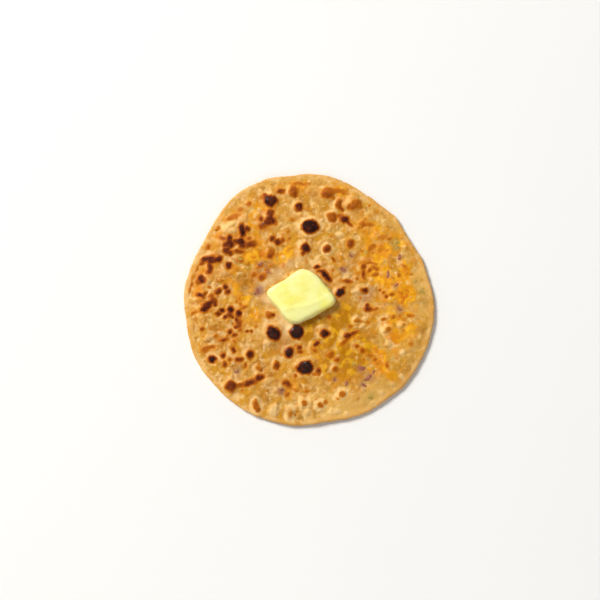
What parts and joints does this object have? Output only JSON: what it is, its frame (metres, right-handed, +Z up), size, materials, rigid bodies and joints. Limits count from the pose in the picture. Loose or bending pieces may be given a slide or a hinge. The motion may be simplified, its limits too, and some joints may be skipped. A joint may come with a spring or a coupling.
{
  "type": "paratha flatbread",
  "caption": "Round stuffed paratha, griddle-browned, with a softened square pat of butter on top.",
  "frame": {"origin": "middle of the footprint, on the plane that the bread rests on", "axes": "+Z up through the butter; +X and +Y lie in the plane of the bread, +X towards the viewer's right"},
  "size_m": [0.1824, 0.1842, 0.0154],
  "materials": {
    "baked_dough": null,
    "soft_butter": null
  },
  "bodies": {
    "root": {"paratha": "baked_dough", "butter_pat": "soft_butter"}
  },
  "joints": []
}
